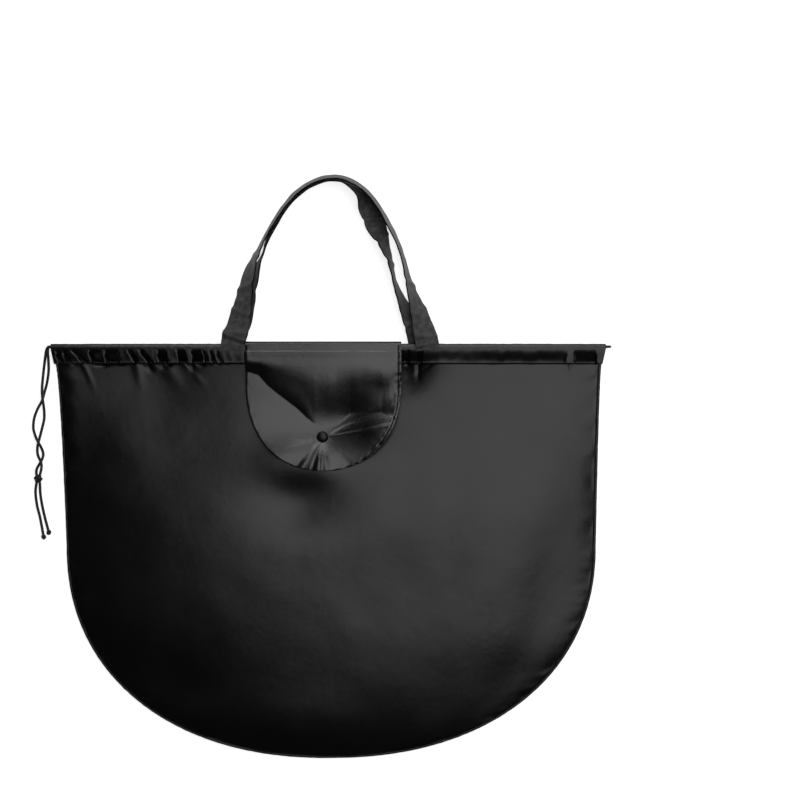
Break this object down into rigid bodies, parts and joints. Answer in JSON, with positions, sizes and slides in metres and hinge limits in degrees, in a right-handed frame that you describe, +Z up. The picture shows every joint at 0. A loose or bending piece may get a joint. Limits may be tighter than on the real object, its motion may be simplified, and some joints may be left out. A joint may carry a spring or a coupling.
{
  "type": "motorcycle helmet bag",
  "caption": "Flat drawstring bag of thin black nylon for a motorcycle helmet, with a round bottom, gathered cord casing, buttoned flap and strap handles.",
  "frame": {"origin": "on the surface that the bag lies on, under the middle of the pouch", "axes": "+Y from the round bottom to the handles, +Z up from the back panel to the front panel, +X to the right as seen from the front"},
  "size_m": [0.6279, 0.6311, 0.0296],
  "materials": {
    "bag_cloth": "thin black nylon taffeta with a satin sheen",
    "seam_cloth": "the same nylon, rolled and stitched",
    "handle_webbing": "the same nylon, folded and pressed into a flat strap",
    "drawcord": "matt black braided cord",
    "button": "black plastic, softly polished"
  },
  "bodies": {
    "root": {"back_panel": "bag_cloth", "front_panel": "bag_cloth", "edge_seam": "seam_cloth", "back_casing": "bag_cloth", "front_casing": "bag_cloth", "flap": "bag_cloth", "flap_button": "button", "front_handle": "handle_webbing", "back_handle": "handle_webbing", "drawcord_held": "drawcord", "drawcord_end_a": "drawcord", "drawcord_end_b": "drawcord", "drawcord_tail_a": "drawcord", "drawcord_tail_b": "drawcord", "tie_knot": "drawcord", "end_knot_a": "drawcord", "end_knot_b": "drawcord"}
  },
  "joints": []
}
